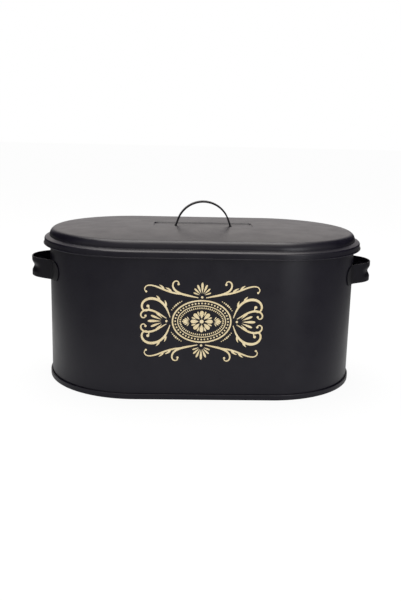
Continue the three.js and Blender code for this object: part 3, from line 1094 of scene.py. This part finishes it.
motifs_on_line = motif_tree()
print("tree", motifs_on_line.name, "with", len(motifs_on_line.nodes), "nodes")

# %% [markdown]
# Each row of motifs is one line of a list. The rosette in the medallion is two rows round a small circle,
# and a palmette is a row round a short arc. Drops point outwards, or inwards where their length is
# negative. A bead has no narrowing, and its middle lies on the line.

# %% Motif rows
round_all = (0, 360)
both_sides = ((1, 1), (-1, 1))
above_below = ((1, 1), (1, -1))
once = ((1, 1),)
# Signs, centre, half sizes, start and sweep, count, length, width, narrowing, size at the ends.
motif_rows = (
    (once, (0, 0), (27.2, 19.2), round_all, 44, 1.7, 1.7, 0.0, 1.0),
    (once, (0, 0), (23.6, 15.6), round_all, 56, -2.4, 1.1, 0.8, 1.0),
    (once, (0, 0), (3.0, 3.0), round_all, 8, 8.4, 4.0, 0.6, 1.0),
    (once, (0, 0), (5.6, 5.6), (22.5, 360), 8, 5.6, 1.6, 0.8, 1.0),
    (both_sides, (12.2, 0), (0.9, 1.4), (-66, 132), 7, 7.2, 1.6, 0.8, 0.6),
    (both_sides, (37.4, 0), (4.0, 4.0), (-44, 88), 5, 14.0, 2.6, 0.8, 0.7),
    (above_below, (0, 27), (2.5, 2.5), (20, 140), 7, 11.5, 2.4, 0.8, 0.62),
    (quarters, (0, 0), (34.6, 26.4), (27, 26), 7, 2.0, 2.0, 0.0, 0.55),
)
boss_size, side_bud_size = 4.0, 2.4
side_bud_places = ((36.2, 0), (-36.2, 0), (0, 25.6), (0, -25.6))
buds = [(signs * places[-1], size) for places, _, size, _ in stems for signs in quarters]
buds += [(place, side_bud_size) for place in side_bud_places]
buds.append(((0, 0), boss_size))
print(sum(len(signs) for signs, *_ in motif_rows), "rows of motifs and", len(buds), "buds")

# %% [markdown]
# Strokes, rows and buds are made flat in millimetres and joined to one piece. It is then stood up on the
# front of the wall at its real size, with the underside of the ink a little inside the sheet.

# %% Front print
print_centre = (-3 * MM, 85 * MM)
ink_sink = 0.1


def print_strokes():
    points, edges, widths, levels = [], [], [], []
    for places, width, level in strokes:
        closed = len(width) == 1
        edges += [(low + len(points), high + len(points)) for low, high in chain(places, closed)]
        widths += list(np.interp(np.linspace(0, 1, len(places)), np.linspace(0, 1, len(width)), width))
        levels += [level] * len(places)
        points += [(x, y, 0) for x, y in places]
    host = new_object("print_strokes", points, edges)
    for name, values in (("width", widths), ("level", levels)):
        host.data.attributes.new(name, "FLOAT", "POINT").data.foreach_set("value", values)
    return run_tree(host, flat_strokes, Sink=ink_sink, Material=gold_print)


def print_row(signs, centre, halves, arc, count, length, width, narrowing, end_size):
    places = oval_arc(centre, *halves, *arc) * signs
    places = places if signs[0] * signs[1] > 0 else places[::-1]
    host = new_object("print_row", [(x, y, 0) for x, y in places], chain(places, arc[1] == 360))
    sizes = {"Length": abs(length), "Width": width, "Narrowing": narrowing, "End size": end_size}
    sizes["Base"] = 0.0 if narrowing else -length / 2
    sizes["Turn"] = math.copysign(right_angle, -length)
    sizes.update(Level=leaf_level, Sink=ink_sink)
    return run_tree(host, motifs_on_line, **sizes, Count=count, Material=gold_print)


def front_print():
    parts = [print_strokes()]
    parts += [print_row(signs, *row) for signs_list, *row in motif_rows for signs in signs_list]
    made = new_object("front_print")
    with edited(made.data) as net:
        for part in parts:
            net.from_mesh(part.data)
            bpy.data.objects.remove(part)
        for (x, y), size in buds:
            sizes = {"radius1": size / 2, "radius2": size / 2, "depth": bud_level + ink_sink}
            disc = bmesh.ops.create_cone(net, cap_ends=True, segments=round_corners, **sizes)
            bmesh.ops.translate(net, verts=disc["verts"], vec=(x, y, (bud_level - ink_sink) / 2))
    made.data.materials.append(gold_print)
    x, y, out = vertices_of(made).T * MM
    places = (print_centre[0] + x, -end_radius - out, print_centre[1] + y)
    return move_vertices(made, np.column_stack(places))


seat(front_print(), "bin", "gold_print")

# %% [markdown]
# ## The studio in the paint
#
# The photograph is a studio cut-out: white all round, with hardly a shadow. Black paint shows little of its
# own colour. What the eye sees on it is the studio, mirrored, and the photograph tells what that was. So
# the camera sees a white floor and a white world, while a mirrored ray sees each at a level of its own.

# %% What rays see
def seen_white(mirrored):
    """Whether a ray only looks, and the white it sees: 1, or this level where it is mirrored."""
    path = add(mirrored.id_data, "ShaderNodeLightPath")
    shown = maths("MAXIMUM", path["Is Camera Ray"], path["Is Transmission Ray"])
    looks = maths("MAXIMUM", shown, path["Is Glossy Ray"])
    return looks, maths("MAXIMUM", shown, maths("MULTIPLY", path["Is Glossy Ray"], mirrored))


print("a ray that only looks sees white, a mirrored one a level of its own")

# %% [markdown]
# ## The floor
#
# The camera looks down, so the wall mirrors only the floor: high up the floor far off, low down the floor
# close by. It is brightest behind the box, and darker far off, in front and to the sides, more so on the
# right. At the foot it is darker still, a painted shadow of the box that only mirrored rays see. The levels
# are ramps over the distance from the foot's oval. A tenth of the plain floor is mixed in, which leaves a
# faint shadow.

# %% Floor
floor_half = 6
floor_shadow = 0.1
# The level at the foot is a painted shadow of the box on the floor.
foot_shadow_level, foot_shadow_reach = 0.4, (0.0, 0.09)
beside_level, far_level, far_reach = 0.88, 0.05, (0.1, 0.6)
front_levels, front_reach, front_edge = (0.6, 0.28), (0.1, 0.9), (-0.14, 0.1)
side_share, side_reach, side_middle = 0.45, (0.09, 0.45), -0.08


def floor_level(tree):
    """How white the floor is where the paint mirrors it."""
    place = split(add(tree, "ShaderNodeTexCoord")["Object"])
    past = maths("SUBTRACT", maths("ABSOLUTE", place["X"]), straight_half)
    spot = vector(maths("MAXIMUM", past, 0.0), place["Y"], 0.0)
    away = add(tree, "ShaderNodeVectorMath", spot, operation="LENGTH")["Value"]
    away = maths("SUBTRACT", away, end_radius)
    # Darker near the foot: a painted shadow of the box, seen only by mirrored rays.
    foot = spread(away, foot_shadow_level, beside_level, *foot_shadow_reach)
    beyond = spread(away, beside_level, far_level, *far_reach)
    before = spread(away, *front_levels, *front_reach)
    front = spread(place["Y"], 1.0, 0.0, *front_edge)
    level = add(tree, "ShaderNodeMix", front, None, beyond, before)[0]
    aside = maths("ABSOLUTE", maths("SUBTRACT", place["X"], side_middle))
    level = maths("MULTIPLY", level, spread(aside, 1.0, side_share, *side_reach))
    return maths("MINIMUM", foot, level)


def white_floor():
    material, tree = new_material("white_floor")
    looks, white = seen_white(floor_level(tree))
    matt = add(tree, "ShaderNodeBsdfDiffuse", (1, 1, 1, 1))[0]
    glow = add(tree, "ShaderNodeEmission", (1, 1, 1, 1), white)[0]
    share = maths("MULTIPLY", looks, 1 - floor_shadow)
    add(tree, "ShaderNodeOutputMaterial", add(tree, "ShaderNodeMixShader", share, matt, glow)[0])
    return material


floor_corners = [(floor_half * x, floor_half * y, 0) for x, y in ((-1, -1), (1, -1), (1, 1), (-1, 1))]
floor = new_object("floor", floor_corners, faces=[(0, 1, 2, 3)])
floor.data.materials.append(white_floor())
print("floor", 2 * floor_half, "m square")

# %% [markdown]
# ## The world
#
# The lid and the handles mirror what stands above the floor. Behind the box that is the backdrop, up to
# some 25 degrees to each side, dull near the horizon and gone higher up. In front there is the room, and
# overhead a bright ceiling. The sides are dark, which is why the ends of the lid's edge go nearly black.
# Bright parts are faintly warm and dark ones faintly blue. Matt surfaces get one white level from all
# round.

# %% World
world_level = 0.8
backdrop_rise, backdrop_side = (0.45, 0.88), (0.32, 0.5)
backdrop_low, backdrop_lift = 0.45, (0.0, 0.25)
room_level, room_rise = 0.7, (-0.45, 0.15)
ceiling_level, ceiling_rise = 2.0, (0.6, 1.0)
dark_level = 0.02
dark_tint, bright_tint = (0.92, 0.89, 1.0), (0.94, 0.885, 0.845)


def world_mirrored(tree):
    """How white the world is in each direction where the paint mirrors it."""
    way = split(add(tree, "ShaderNodeTexCoord")["Generated"])
    behind = spread(way["Y"], 0.0, 1.0, *backdrop_rise)
    narrow = spread(maths("ABSOLUTE", way["X"]), 1.0, 0.0, *backdrop_side)
    lifted = spread(way["Z"], backdrop_low, 1.0, *backdrop_lift)
    backdrop = maths("MULTIPLY", maths("MULTIPLY", behind, lifted), narrow)
    room = spread(way["Y"], room_level, dark_level, *room_rise)
    ceiling = maths("MULTIPLY", spread(way["Z"], 0.0, ceiling_level, *ceiling_rise), narrow)
    return maths("MAXIMUM", maths("MAXIMUM", backdrop, room), ceiling)


def studio_world():
    world = bpy.data.worlds.new("studio")
    tree = empty_tree(world)
    path = add(tree, "ShaderNodeLightPath")
    mirrored = world_mirrored(tree)
    lit = maths("MULTIPLY", path["Is Diffuse Ray"], world_level)
    strength = maths("MAXIMUM", seen_white(mirrored)[1], lit)
    tint = mix_colour(mirrored, dark_tint, bright_tint)
    colour = mix_colour(path["Is Glossy Ray"], (1, 1, 1), tint)
    add(tree, "ShaderNodeOutputWorld", add(tree, "ShaderNodeBackground", colour, strength)[0])
    return world


scene.world = studio_world()
print("matt surfaces see", world_level, "mirrored room", room_level, "ceiling", ceiling_level)

# %% [markdown]
# ## The lamps
#
# A large softbox hangs above and a little behind. The ledge mirrors it, which draws the bright band round
# the lid, and so do the hem and the rounded edge of the dome. A weak lamp at the front right gives the
# front its soft brighter streak.

# %% Lamps
def area_lamp(name, place, aim, width, height, level, colour):
    """A rectangular lamp turned towards a point. Its power follows its area, which keeps its brightness."""
    lamp = bpy.data.objects.new(name, bpy.data.lights.new(name, "AREA"))
    lamp.data.shape = "RECTANGLE"
    lamp.data.size, lamp.data.size_y = width, height
    lamp.data.energy = level * math.pi * width * height
    lamp.data.color = colour
    way = Vector(aim) - Vector(place)
    lamp.matrix_world = Matrix.Translation(place) @ way.to_track_quat("-Z", "Y").to_matrix().to_4x4()
    scene.collection.objects.link(lamp)
    print(name, round(lamp.data.energy, 2), "W")


warm, cool = (1, 0.97, 0.945), (0.97, 0.98, 1)
area_lamp("softbox", (-0.08, 0.25, 1.17), (-0.05, -0.05, 0.1), width=1.0, height=0.9, level=3.4, colour=warm)
area_lamp("fill_light", (0.7, -1.15, 0.3), (0, 0, 0.1), width=0.6, height=0.8, level=3.0, colour=cool)
